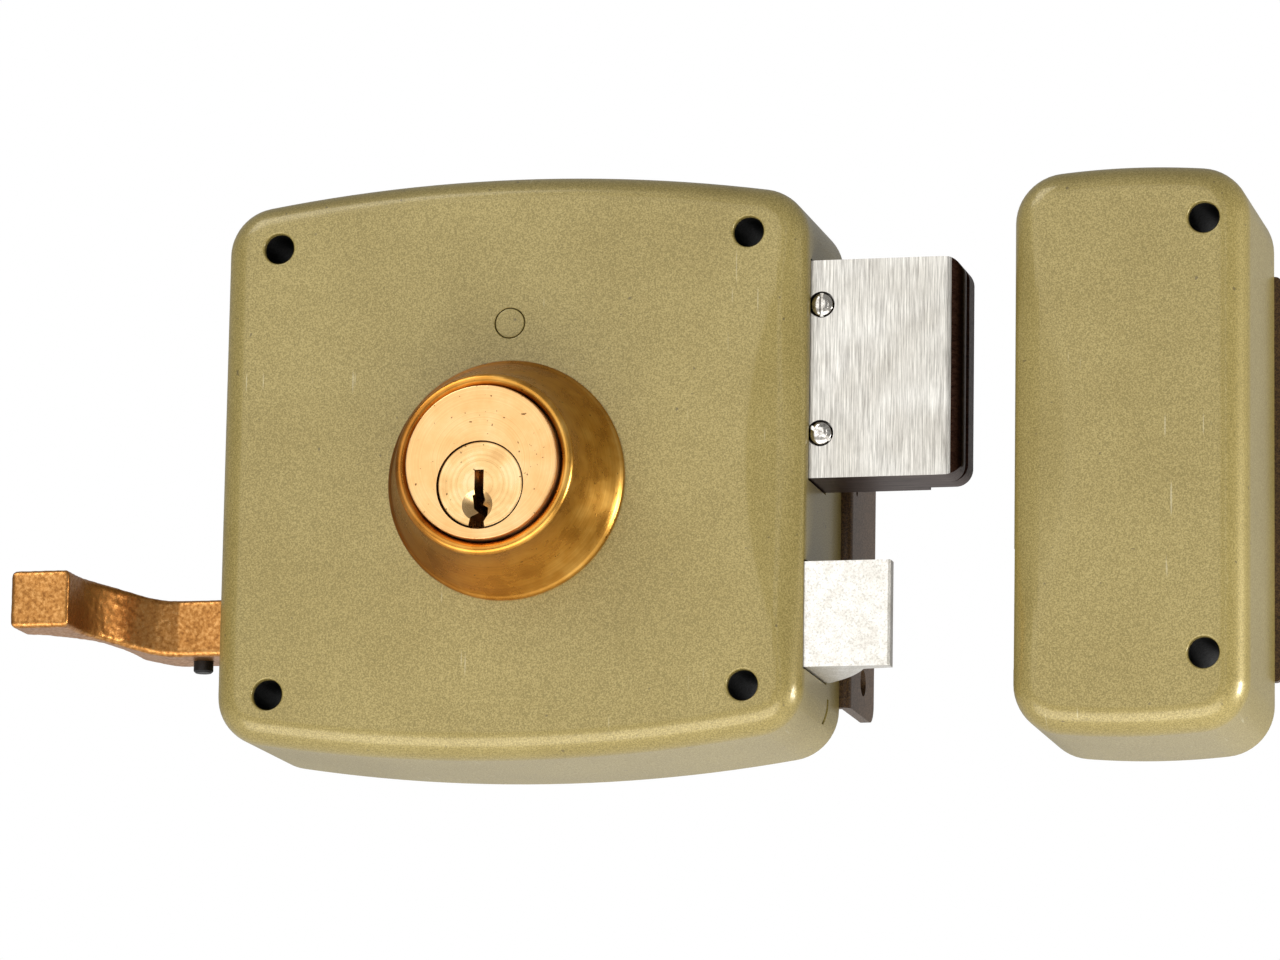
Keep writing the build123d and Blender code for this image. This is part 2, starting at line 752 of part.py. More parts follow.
bracket_left_x = 0.0
bracket_top_z = latch_centre_z + 8.0
bracket_bottom_z = latch_centre_z - 8.0
with BuildPart() as rod_bracket:
    with BuildSketch(Plane.YZ.offset(bracket_left_x)) as bracket_outline:
        with BuildLine():
            Polyline(
                (-plate_thickness, bracket_bottom_z),
                (-plate_thickness, bracket_top_z),
                (-rod_depth - 6.0, bracket_top_z),
                (-rod_depth - 6.0, bracket_bottom_z),
                close=True,
            )
        make_face()
        fillet(bracket_outline.vertices().group_by(Axis.X)[0], 3.0)
        with Locations((-rod_depth, latch_centre_z)):
            Circle(rod_radius + rod_clearance, mode=Mode.SUBTRACT)
    extrude(amount=bracket_width)
save(rod_bracket, "rod_bracket")

spring_start_x = bracket_left_x + bracket_width + spring_wire_radius + 0.1
spring_end_x = latch_left_x - spring_wire_radius - 0.1
with BuildPart() as latch_spring:
    add(
        coil(
            (spring_start_x, -rod_depth, latch_centre_z), (1, 0, 0), spring_end_x - spring_start_x,
            spring_turns, rod_radius + spring_wire_radius + 0.6, spring_wire_radius,
        )
    )
save(latch_spring, "latch_spring")

# ---------------------------------------------------------------- pull
pull_top_z = latch_centre_z + pull_height / 2 + pull_rise
pull_bottom_z = pull_top_z - pull_height
bar_right_x = left_x - pull_gap
bar_back = rod_depth - pull_bar_depth / 2 + 0.5
bar_front = bar_back + pull_bar_depth
pad_front = bar_front + pull_stand
pad_back = pad_front - pad_thickness
pad_left_x = left_x - pull_reach
pad_right_x = pad_left_x + pad_width
pull_screw_x = left_x - pull_screw_inset
with BuildPart() as pull_handle:
    with BuildSketch(Plane.XY.offset(pull_bottom_z)) as pull_outline:
        with BuildLine():
            Polyline(
                (pad_right_x, -pad_front),
                (pad_left_x, -pad_front),
                (pad_left_x, -pad_back),
                (pad_left_x + 3.0, -pad_back + 1.0),
            )
            ThreePointArc(
                (pad_left_x + 3.0, -pad_back + 1.0),
                (pad_left_x + 11.0, -bar_front - 7.0),
                (left_x - 22.0, -bar_front + 6.0),
            )
            Polyline(
                (left_x - 22.0, -bar_front + 6.0),
                (left_x - 22.0, -bar_back),
                (bar_right_x, -bar_back),
                (bar_right_x, -bar_front),
                (left_x - 10.0, -bar_front),
            )
            ThreePointArc(
                (left_x - 10.0, -bar_front),
                (left_x - 21.0, -bar_front - 7.5),
                (pad_right_x, -pad_front + 5.5),
            )
            Line((pad_right_x, -pad_front + 5.5), (pad_right_x, -pad_front))
        make_face()
    extrude(amount=pull_height)
    rim_edges = pull_handle.faces().filter_by(Axis.Z).edges().filter_by(lambda edge: edge.center().X < bar_right_x - 0.1)
    fillet(rim_edges, 1.0)
    with BuildSketch(Plane.YZ.offset(bar_right_x)):
        with Locations((-rod_depth, latch_centre_z)):
            Circle(rod_radius + press)
    extrude(amount=rod_left_x - 0.5 - bar_right_x, mode=Mode.SUBTRACT)
    with BuildSketch(Plane.XY.offset(pull_bottom_z)):
        with Locations((pull_screw_x, -rod_depth)):
            Circle(pull_screw_radius + press)
    extrude(amount=latch_centre_z - pull_bottom_z, mode=Mode.SUBTRACT)
save(pull_handle, "pull_handle")

with BuildPart() as pull_screw:
    with BuildSketch(Plane.XY.offset(pull_bottom_z)):
        with Locations((pull_screw_x, -rod_depth)):
            Circle(pull_screw_head_radius)
    extrude(amount=-pull_screw_head_height)
    chamfer(pull_screw.edges().group_by(Axis.Z)[0], 0.4)
    with BuildSketch(Plane.XY.offset(pull_bottom_z)):
        with Locations((pull_screw_x, -rod_depth)):
            Circle(pull_screw_radius)
    extrude(amount=latch_centre_z - rod_radius - pull_bottom_z)
save(pull_screw, "pull_screw")

# ---------------------------------------------------------------- retracting lever
lever_pin_radius = 2.0
lever_boss_radius = 5.0
tip_x = fork_x
tip_z = pivot_z - lever_length * math.cos(lever_swing)
with BuildPart() as retract_lever:
    with BuildSketch(Plane.XZ.offset(lever_back)) as lever_outline:
        with Locations((pivot_x, pivot_z)):
            Circle(lever_boss_radius)
        with Locations((tip_x, tip_z)):
            Circle(lever_tip_radius)
        with Locations(((pivot_x + tip_x) / 2, (pivot_z + tip_z) / 2)):
            Rectangle(lever_arm_width, lever_length, rotation=math.degrees(lever_swing))
        with Locations((pivot_x - 4.5, pivot_z + 6.0)):
            SlotOverall(20.0, 6.0, rotation=127)
        with Locations((pivot_x, pivot_z)):
            Circle(lever_pin_radius + running, mode=Mode.SUBTRACT)
    extrude(amount=lever_thickness)
save(retract_lever, "retract_lever")

with BuildPart() as lever_pivot:
    add(pins([(pivot_x, pivot_z)], lever_pin_radius, plate_thickness, tail_back - loose))
    add(pins([(pivot_x, pivot_z)], 3.5, plate_thickness, lever_back - loose))
save(lever_pivot, "lever_pivot")

# ---------------------------------------------------------------- keeper
keeper_centre = (keeper_centre_x, keeper_centre_z)
keeper_size = (keeper_width, keeper_height)
keeper_outside = bowed_block(
    keeper_centre, keeper_size, keeper_bow_radius, case_corner_radius,
    0.0, plate_thickness, case_depth, face_edge_radius,
)
keeper_inside = bowed_block(
    keeper_centre, keeper_size, keeper_bow_radius, case_corner_radius,
    wall, plate_thickness - 1.0, face_inside, face_edge_radius - wall,
)
keeper_dish = scallop(keeper_left_x, -1, keeper_scallop_reach, keeper_scallop_radius, keeper_centre_z, case_depth)
keeper_dish_inside = scallop(
    keeper_left_x, -1, keeper_scallop_reach, keeper_scallop_radius, keeper_centre_z, face_inside
)
with BuildPart() as keeper_space:
    add(keeper_inside)
    add(keeper_dish_inside, mode=Mode.SUBTRACT)

with BuildPart() as keeper_cover:
    add(keeper_outside)
    add(keeper_dish, mode=Mode.SUBTRACT)
    add(keeper_space.part, mode=Mode.SUBTRACT)
    with BuildSketch(Plane.XZ.offset(case_depth + 1.0)):
        with Locations(*keeper_points):
            Circle(screw_hole_radius)
    extrude(amount=-2 * wall - 3.0, mode=Mode.SUBTRACT)
    with BuildSketch(Plane.YZ.offset(keeper_left_x - 1.0)):
        with Locations((-(bolt_front + bolt_back) / 2, bolt_centre_z)):
            Rectangle(bolt_thickness + 2 * mouth_clearance, bolt_height + 2 * mouth_clearance)
        with Locations((-(latch_front + latch_back) / 2, latch_centre_z)):
            Rectangle(latch_thickness + 2 * mouth_clearance, latch_height + 2 * mouth_clearance)
    extrude(amount=wall + 2.0, mode=Mode.SUBTRACT)
save(keeper_cover, "keeper_cover")

keeper_blank = bowed_block(
    keeper_centre, keeper_size, keeper_bow_radius, case_corner_radius,
    plate_inset, 0.0, plate_thickness, 0.0,
)
with BuildPart() as keeper_plate:
    add(keeper_blank)
    with BuildSketch(Plane.XZ) as strip:
        with Locations((keeper_right_x + side_strip_width / 2 - 2.0, keeper_centre_z)):
            RectangleRounded(side_strip_width + 4.0, side_strip_height, 1.5)
    extrude(amount=plate_thickness)
    with BuildSketch(Plane.XZ):
        with Locations(*keeper_points):
            Circle(screw_hole_radius)
    extrude(amount=plate_thickness, mode=Mode.SUBTRACT)
save(keeper_plate, "keeper_plate")

with BuildPart() as keeper_sleeves:
    add(tubes(keeper_points, screw_hole_radius, sleeve_radius, plate_thickness, keeper_sleeve_front))
save(keeper_sleeves, "keeper_sleeves")
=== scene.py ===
import math
import bpy
from mathutils import Matrix, Vector


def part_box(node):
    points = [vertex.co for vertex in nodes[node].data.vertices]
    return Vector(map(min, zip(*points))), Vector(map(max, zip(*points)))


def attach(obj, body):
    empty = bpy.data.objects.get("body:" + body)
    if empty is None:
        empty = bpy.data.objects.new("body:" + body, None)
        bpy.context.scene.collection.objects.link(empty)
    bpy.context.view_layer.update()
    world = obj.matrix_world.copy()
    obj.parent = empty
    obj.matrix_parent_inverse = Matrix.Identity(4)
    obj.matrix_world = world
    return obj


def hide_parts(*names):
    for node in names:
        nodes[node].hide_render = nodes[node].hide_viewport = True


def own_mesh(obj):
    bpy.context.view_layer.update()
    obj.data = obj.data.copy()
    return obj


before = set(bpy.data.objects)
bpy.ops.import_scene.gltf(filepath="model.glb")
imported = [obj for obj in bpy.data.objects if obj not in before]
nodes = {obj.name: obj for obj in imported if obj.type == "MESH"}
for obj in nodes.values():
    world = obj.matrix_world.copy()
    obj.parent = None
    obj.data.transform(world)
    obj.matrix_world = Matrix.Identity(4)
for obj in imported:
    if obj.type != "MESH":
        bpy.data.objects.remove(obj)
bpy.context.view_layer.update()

# Rim lock with keeper: enamel covers, turned brass, a brushed deadbolt and a nickelled latch.
print("frame loaded:", len(nodes), "nodes")


# small helpers
def mm(value):
    return value * 0.001


def colour(hexValue):
    # sRGB hex to linear
    parts = [int(hexValue[i:i + 2], 16) / 255 for i in (1, 3, 5)]
    linear = [p / 12.92 if p <= 0.04045 else ((p + 0.055) / 1.055) ** 2.4 for p in parts]
    return (linear[0], linear[1], linear[2], 1.0)


def deselectAll():
    if bpy.context.mode != "OBJECT":
        bpy.ops.object.mode_set(mode="OBJECT")
    for item in list(bpy.context.selected_objects):
        item.select_set(False)


def makeActive(piece):
    deselectAll()
    piece.select_set(True)
    bpy.context.view_layer.objects.active = piece


def startPiece(name):
    # names what a primitive operator has just added
    piece = bpy.context.active_object
    piece.name = name
    piece.data.name = name
    return piece


def editMode(piece, vertices=None, edges=None, faces=None):
    # goes into edit mode with only what the test picks selected
    makeActive(piece)
    mesh = piece.data
    for group in (mesh.vertices, mesh.edges, mesh.polygons):
        group.foreach_set("select", [False] * len(group))
    mode = "VERT"
    if vertices:
        mesh.vertices.foreach_set("select", [vertices(v.co) for v in mesh.vertices])
    if edges:
        mode = "EDGE"
        ends = [[mesh.vertices[index].co for index in edge.vertices] for edge in mesh.edges]
        picked = [edges(first, second) for first, second in ends]
        mesh.edges.foreach_set("select", picked)
    if faces:
        mode = "FACE"
        mesh.polygons.foreach_set("select", [faces(p.center, p.normal) for p in mesh.polygons])
    bpy.ops.object.mode_set(mode="EDIT")
    bpy.ops.mesh.select_mode(type=mode)


def objectMode():
    bpy.ops.object.mode_set(mode="OBJECT")


def settle(piece):
    # place and size go into the mesh, so the object stands at the origin
    makeActive(piece)
    bpy.ops.object.transform_apply(location=True, rotation=True, scale=True)


def addModifier(piece, kind, **settings):
    modifier = piece.modifiers.new(kind.title(), kind)
    for key, value in settings.items():
        setattr(modifier, key, value)
    makeActive(piece)
    bpy.ops.object.modifier_apply(modifier=modifier.name)


def cutAway(piece, cutters):
    for cutter in cutters:
        addModifier(piece, "BOOLEAN", operation="DIFFERENCE", object=cutter, solver="MANIFOLD")
        bpy.data.objects.remove(cutter)


def roundBar(centre, radius, length, axis="Y", segments=48):
    turn = {"X": (0, math.pi / 2, 0), "Y": (math.pi / 2, 0, 0), "Z": (0, 0, 0)}[axis]
    deselectAll()
    bpy.ops.mesh.primitive_cylinder_add(
        vertices=segments, radius=radius, depth=length, location=centre, rotation=turn
    )
    bar = startPiece("cutter")
    settle(bar)
    return bar


def block(low, high):
    deselectAll()
    size = [high[i] - low[i] for i in range(3)]
    centre = [(high[i] + low[i]) / 2 for i in range(3)]
    bpy.ops.mesh.primitive_cube_add(size=1, location=centre)
    box = startPiece("cutter")
    box.scale = size
    settle(box)
    return box


def turned(name, profile, centre=(0, 0, 0), segments=128, capped=False):
    # a circle drawn on along Y through (radius, y) points, as on a lathe; capped closes both ends
    deselectAll()
    firstRadius, firstY = profile[0]
    bpy.ops.mesh.primitive_circle_add(
        vertices=segments, radius=firstRadius, location=(centre[0], firstY, centre[2]),
        rotation=(math.pi / 2, 0, 0), fill_type="NGON" if capped else "NOTHING",
    )
    piece = startPiece(name)
    settle(piece)
    editMode(piece, vertices=lambda co: True)
    lastRadius, lastY = firstRadius, firstY
    for radius, y in profile[1:]:
        bpy.ops.mesh.extrude_region_move(TRANSFORM_OT_translate={"value": (0, y - lastY, 0)})
        grow = radius / lastRadius
        bpy.ops.transform.resize(value=(grow, 1, grow), center_override=(centre[0], y, centre[2]))
        lastRadius, lastY = radius, y
    bpy.ops.mesh.select_all(action="SELECT")
    bpy.ops.mesh.remove_doubles(threshold=1e-6)
    bpy.ops.mesh.normals_make_consistent(inside=False)
    objectMode()
    return piece


def finishPiece(piece, body, material, replaced=(), angle=35):
    makeActive(piece)
    bpy.ops.object.shade_smooth_by_angle(angle=math.radians(angle))
    piece.data.materials.clear()
    piece.data.materials.append(material)
    addModifier(piece, "WEIGHTED_NORMAL", keep_sharp=True, weight=80)
    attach(piece, body)
    if replaced:
        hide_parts(*replaced)
    print("made", piece.name, len(piece.data.polygons), "faces")


def coat(material, *names):
    for name in names:
        for place in nodes[name].material_slots:
            place.material = material


# materials; mixed and multiplied are the settings of the two colour mixes in use
mixed = {"data_type": "RGBA"}
multiplied = {"data_type": "RGBA", "blend_type": "MULTIPLY"}


def addNode(tree, kind, settings=None, out=0, **links):
    # adds a node and gives back one output; settings go on attributes or sockets, links join sockets
    node = tree.nodes.new("ShaderNode" + kind)

    def socket(key):
        return node.inputs[int(key[2:])] if key.startswith("in") else node.inputs[key.replace("_", " ")]

    for key, value in (settings or {}).items():
        if key == "stops":
            band = node.color_ramp
            while len(band.elements) < len(value):
                band.elements.new(0.5)
            for element, (position, hexValue) in zip(band.elements, value):
                element.position = position
                element.color = colour(hexValue)
        elif hasattr(node, key):
            setattr(node, key, value)
        else:
            socket(key).default_value = value
    for key, source in links.items():
        tree.links.new(source, socket(key))
    return node.outputs[out]


def newMaterial(name, **sockets):
    material = bpy.data.materials.new(name)
    material.use_nodes = True
    tree = material.node_tree
    shader = tree.nodes["Principled BSDF"]
    for key, value in sockets.items():
        shader.inputs[key.replace("_", " ")].default_value = value
    return material, tree, shader, addNode(tree, "TexCoord", out="Object")


def toShader(tree, shader, **links):
    for key, source in links.items():
        tree.links.new(source, shader.inputs[key.replace("_", " ")])


def stovingEnamel(name, dark, mid, light, scuff, gloss):
    # sprayed and stoved enamel with metal flake: a satin skin with a fine sparkle and small nicks
    material, tree, shader, place = newMaterial(
        name, Metallic=0.25, Coat_Weight=gloss, Coat_Roughness=0.16, Specular_IOR_Level=0.45
    )
    # real flake is 0.05 mm, too fine to show, so it is drawn at 0.3 mm
    flake = addNode(tree, "TexNoise", {"Scale": 1 / mm(0.3), "Detail": 2.0, "Roughness": 0.7}, Vector=place)
    cloud = addNode(tree, "TexNoise", {"Scale": 1 / mm(30), "Detail": 2.0, "Roughness": 0.55}, Vector=place)
    base = addNode(tree, "ValToRGB", {"stops": [(0.36, dark), (0.5, mid), (0.66, light)]}, Fac=flake)
    washed = addNode(tree, "ValToRGB", {"stops": [(0.35, "#F2F0E6"), (0.65, "#FFFFFF")]}, Fac=cloud)
    tinted = addNode(tree, "Mix", {**multiplied, "in0": 1.0}, out=2, in6=base, in7=washed)
    nick = addNode(tree, "TexNoise", {"Scale": 1 / mm(1.6), "Detail": 1.0, "Roughness": 0.55}, Vector=place)
    nicked = addNode(tree, "MapRange", {"From Min": 0.755, "From Max": 0.78, "To Max": 0.8}, Value=nick)
    withNicks = addNode(tree, "Mix", {**mixed, "in7": colour(scuff)}, out=2, in0=nicked, in6=tinted)
    # hairline scratches: long thin streaks, only here and there
    along = addNode(tree, "Mapping", {"Scale": (1.0, 0.04, 0.035)}, Vector=place)
    streak = addNode(tree, "TexNoise", {"Scale": 1 / mm(0.5), "Detail": 0.0, "Roughness": 0.55}, Vector=along)
    where = addNode(tree, "TexNoise", {"Scale": 1 / mm(14), "Detail": 1.0, "Roughness": 0.55}, Vector=place)
    streaky = addNode(tree, "MapRange", {"From Min": 0.8, "From Max": 0.83, "To Max": 0.22}, Value=streak)
    somewhere = addNode(tree, "MapRange", {"From Min": 0.55, "From Max": 0.62}, Value=where)
    scratched = addNode(tree, "Math", {"operation": "MULTIPLY"}, in0=streaky, in1=somewhere)
    painted = addNode(tree, "Mix", {**mixed, "in7": colour("#E4DFC4")}, out=2, in0=scratched, in6=withNicks)
    span = {"From Min": 0.3, "From Max": 0.7, "To Min": 0.46, "To Max": 0.33}
    sheen = addNode(tree, "MapRange", span, Value=flake)
    # orange peel from spraying, with the flake over it
    peel = addNode(tree, "TexNoise", {"Scale": 1 / mm(1.6), "Detail": 2.0, "Roughness": 0.55}, Vector=place)
    peeled = addNode(tree, "Bump", {"Strength": 0.35, "Distance": mm(0.03)}, Height=peel)
    skin = addNode(tree, "Bump", {"Strength": 0.35, "Distance": mm(0.012)}, Height=flake, Normal=peeled)
    toShader(tree, shader, Base_Color=painted, Roughness=sheen, Normal=skin)
    return material


def turnedBrass(name, stops, ringWidth, roughLow, roughHigh, centreZ=0.0, paintedSideShade=None):
    # lathe-turned brass under old lacquer: close rings, warmer where the lacquer is thick
    material, tree, shader, place = newMaterial(name, Metallic=1.0)
    around = addNode(tree, "Mapping", {"Location": (0, 0, -centreZ), "Scale": (1, 0, 1)}, Vector=place)
    distance = addNode(tree, "VectorMath", {"operation": "LENGTH"}, out="Value", in0=around)
    depthOnly = addNode(tree, "Mapping", {"Scale": (0, 1, 0)}, Vector=place)
    outward = addNode(tree, "CombineXYZ", X=distance)
    ringAt = addNode(tree, "VectorMath", {"operation": "ADD"}, in0=outward, in1=depthOnly)
    rings = addNode(
        tree, "TexNoise", {"Scale": 1 / mm(ringWidth), "Detail": 3.0, "Roughness": 0.7}, Vector=ringAt
    )
    stain = addNode(tree, "TexNoise", {"Scale": 1 / mm(5), "Detail": 4.0, "Roughness": 0.55}, Vector=place)
    base = addNode(tree, "ValToRGB", {"stops": stops}, Fac=stain)
    if paintedSideShade:
        # painted shade: darker and redder on the left, fading out to the right, over the width of the collar
        across = addNode(tree, "SeparateXYZ", Vector=place)
        side = addNode(tree, "MapRange", {"From Min": -mm(24), "From Max": mm(24)}, Value=across)
        sideShadeColour = addNode(tree, "ValToRGB", {"stops": paintedSideShade}, Fac=side)
        base = addNode(tree, "Mix", {**multiplied, "in0": 0.75}, out=2, in6=base, in7=sideShadeColour)
    ringShade = addNode(tree, "ValToRGB", {"stops": [(0.3, "#D8CBB8"), (0.6, "#FFFFFF")]}, Fac=rings)
    shaded = addNode(tree, "Mix", {**multiplied, "in0": 0.6}, out=2, in6=base, in7=ringShade)
    pit = addNode(tree, "TexNoise", {"Scale": 1 / mm(0.9), "Detail": 1.0, "Roughness": 0.55}, Vector=place)
    pitted = addNode(tree, "MapRange", {"From Min": 0.73, "From Max": 0.77, "To Max": 0.8}, Value=pit)
    aged = addNode(tree, "Mix", {**mixed, "in7": colour("#4A2C10")}, out=2, in0=pitted, in6=shaded)
    span = {"From Min": 0.3, "From Max": 0.7, "To Min": roughLow, "To Max": roughHigh}
    sheen = addNode(tree, "MapRange", span, Value=stain)
    turnedSkin = addNode(tree, "Bump", {"Strength": 0.5, "Distance": mm(0.02)}, Height=rings)
    skin = addNode(tree, "Bump", {"Strength": 0.2, "Distance": mm(0.05)}, Height=stain, Normal=turnedSkin)
    toShader(tree, shader, Base_Color=aged, Roughness=sheen, Normal=skin)
    return material


def brushedSteel(name, dark, light, grain, stretch, roughness):
    # steel run along an abrasive belt: fine lines one way, light and dark
    material, tree, shader, place = newMaterial(name, Metallic=1.0)
    along = addNode(tree, "Mapping", {"Scale": stretch}, Vector=place)
    lines = addNode(
        tree, "TexNoise", {"Scale": 1 / mm(grain), "Detail": 4.0, "Roughness": 0.75}, Vector=along
    )
    broad = addNode(tree, "TexNoise", {"Scale": 1 / mm(9), "Detail": 2.0, "Roughness": 0.55}, Vector=place)
    base = addNode(tree, "ValToRGB", {"stops": [(0.33, dark), (0.62, light)]}, Fac=lines)
    shade = addNode(tree, "ValToRGB", {"stops": [(0.3, "#DEDBD6"), (0.7, "#FFFFFF")]}, Fac=broad)
    shaded = addNode(tree, "Mix", {**multiplied, "in0": 0.7}, out=2, in6=base, in7=shade)
    span = {"From Min": 0.3, "From Max": 0.7, "To Min": roughness + 0.08, "To Max": roughness - 0.06}
    sheen = addNode(tree, "MapRange", span, Value=lines)
    skin = addNode(tree, "Bump", {"Strength": 0.5, "Distance": mm(0.02)}, Height=lines)
    toShader(tree, shader, Base_Color=shaded, Roughness=sheen, Normal=skin)
    return material


def pittedPlate(name, dark, mid, light, grain, roughness, depth, metallic=1.0):
    # plated or cast metal with a grainy skin: small pits, soft mottling
    material, tree, shader, place = newMaterial(name, Metallic=metallic)
    grit = addNode(tree, "TexNoise", {"Scale": 1 / mm(grain), "Detail": 3.0, "Roughness": 0.65}, Vector=place)
    broad = addNode(
        tree, "TexNoise", {"Scale": 1 / mm(grain * 9), "Detail": 3.0, "Roughness": 0.55}, Vector=place
    )
    base = addNode(tree, "ValToRGB", {"stops": [(0.3, dark), (0.48, mid), (0.68, light)]}, Fac=grit)
    shade = addNode(tree, "ValToRGB", {"stops": [(0.3, "#E4E1DC"), (0.65, "#FFFFFF")]}, Fac=broad)
    shaded = addNode(tree, "Mix", {**multiplied, "in0": 0.8}, out=2, in6=base, in7=shade)
    span = {"From Min": 0.3, "From Max": 0.7, "To Min": roughness + 0.1, "To Max": roughness - 0.08}
    sheen = addNode(tree, "MapRange", span, Value=grit)
    skin = addNode(tree, "Bump", {"Strength": 0.6, "Distance": mm(depth)}, Height=grit)
    toShader(tree, shader, Base_Color=shaded, Roughness=sheen, Normal=skin)
    return material


# olive-gold enamel on the covers, and a dark brown one on the plates, which paints the shade they lie in
caseEnamel = stovingEnamel("caseEnamel", "#7B6D39", "#8E7E46", "#A3935B", "#5C5030", 0.35)
shadedPlateEnamel = stovingEnamel("shadedPlateEnamel", "#2C1E10", "#463220", "#634C30", "#1A1209", 0.0)
# three turned brasses: the collar's is the deepest, the plug's the palest and smoothest
collarBrass = turnedBrass(
    "collarBrass", [(0.3, "#B98840"), (0.5, "#CC9A4C"), (0.7, "#D8AC60")], 0.35, 0.24, 0.34,
    # the side ramp paints shade on the collar's left side
    paintedSideShade=[(0.0, "#A86C42"), (0.45, "#F6DCAC"), (1.0, "#FFFFF0")],
)
faceBrass = turnedBrass(
    "faceBrass", [(0.3, "#D9A96E"), (0.5, "#E3B67C"), (0.7, "#EBC38C")], 0.25, 0.3, 0.4,
)
plugBrass = turnedBrass(
    "plugBrass", [(0.3, "#C79E68"), (0.5, "#D9B47C"), (0.7, "#E6C594")], 0.3, 0.2, 0.3, centreZ=-mm(4.5),
)
# sand-cast brass, fettled by hand: a grainy coppery skin with soft highlights
castBrass = pittedPlate("castBrass", "#8C5C2F", "#B07A40", "#CC985C", 0.8, 0.34, 0.05)
# belt-ground steel with upright lines, and a dark brown steel that paints the shade on the bolt's sides, nose
# and slide
boltSteel = brushedSteel("brushedBoltSteel", "#99958F", "#E4E1D9", 0.28, (1.0, 1.0, 0.03), 0.36)
shadedBoltSteel = brushedSteel("shadedBrownBoltSteel", "#24130D", "#4E352A", 0.6, (0.05, 1.0, 1.0), 0.4)
# nickel plate: almost white and faintly pitted on the latch, shinier on the screw heads
satinNickel = pittedPlate("satinNickel", "#C6C2BA", "#E6E3DC", "#F2F0EB", 0.35, 0.38, 0.03)
screwNickel = pittedPlate("screwNickel", "#8F8A83", "#C4C0B9", "#E6E3DD", 0.6, 0.16, 0.01)
# inside: dull grey zinc plating, drawn spring wire, and a near-black steel with hardly any shine, which also
# paints the shade deep in the screw holes
zincPlate = pittedPlate("zincPlate", "#6E6E6A", "#95958F", "#B4B4AD", 1.2, 0.45, 0.03)
springWire = brushedSteel("springWire", "#55555A", "#909097", 0.3, (1, 1, 1), 0.3)
blackOxideAndHoleShade = pittedPlate("blackOxideAndHoleShade", "#050505", "#0E0D0C", "#1B1A18", 0.5, 0.45, 0.03, 0.4)
print("materials ready")

# the back and keeper plates take the dark brown enamel as painted shade
coat(shadedPlateEnamel, "back_plate", "keeper_plate")
coat(
    zincPlate, "cylinder_bridge", "bridge_pillars", "bolt_guide_posts", "detent_post", "rod_bracket",
    "lever_pivot", "retract_lever", "latch_rod", "rod_fork", "cam_screw", "cylinder_screws", "key_cam",
)
coat(springWire, "plug_clip", "detent_spring", "pin_springs")
coat(faceBrass, "key_pins", "driver_pins", "chamber_plugs")
# the bolt's nose and slide take the dark brown steel as painted shade
coat(shadedBoltSteel, "bolt_nose", "bolt_slide")
coat(satinNickel, "latch_head")
# the screw sleeves are near black as painted shade inside the holes
coat(blackOxideAndHoleShade, "pull_screw", "screw_sleeves", "keeper_sleeves")


# drawn steel covers, each pressed from one sheet
def coverOutline(middle, halfWidth, halfHeight, bow, corner):
    # bowed top and bottom, straight sides and tangent corners, as (x, z) points going round once
    bowCentre = halfHeight - bow
    rise = math.sqrt((bow - corner) ** 2 - (halfWidth - corner) ** 2)
    cornerAt = (halfWidth - corner, bowCentre + rise)
    tangent = math.atan2(cornerAt[0], rise)
    arc = [tangent * i / 12 for i in range(12)]
    quarter = [(bow * math.sin(turn), bowCentre + bow * math.cos(turn)) for turn in arc]
    for i in range(13):
        turn = tangent + (math.pi / 2 - tangent) * i / 12
        quarter.append((cornerAt[0] + corner * math.sin(turn), cornerAt[1] + corner * math.cos(turn)))
    lower = [(x, -z) for x, z in reversed(quarter)]
    right = quarter + lower
    left = [(-x, z) for x, z in reversed(right[1:-1])]
    return [(middle[0] + x, middle[1] + z) for x, z in reversed(right + left)]


def dishDepth(x, z, cover):
    # how far the face is pressed back at (x, z): nothing outside the crease, then an even slope
    inside = cover["dishRadius"] - math.hypot(x - cover["dishAxisX"], z - cover["middle"][1])
    if inside < -4 * cover["creaseSoft"]:
        return 0.0
    eased = (inside + math.hypot(inside, cover["creaseSoft"])) / 2
    return cover["dishDepth"] / cover["dishReach"] * eased


def sliceMesh(piece, positions, axis):
    normal = {"X": (1, 0, 0), "Z": (0, 0, 1)}[axis]
    editMode(piece, vertices=lambda co: True)
    for position in positions:
        bpy.ops.mesh.select_all(action="SELECT")
        bpy.ops.mesh.bisect(plane_co=[position * n for n in normal], plane_no=normal)
    objectMode()


def steps(start, end, gap):
    count = max(1, round(abs(end - start) / gap))
    return [start + (end - start) * i / count for i in range(count + 1)]


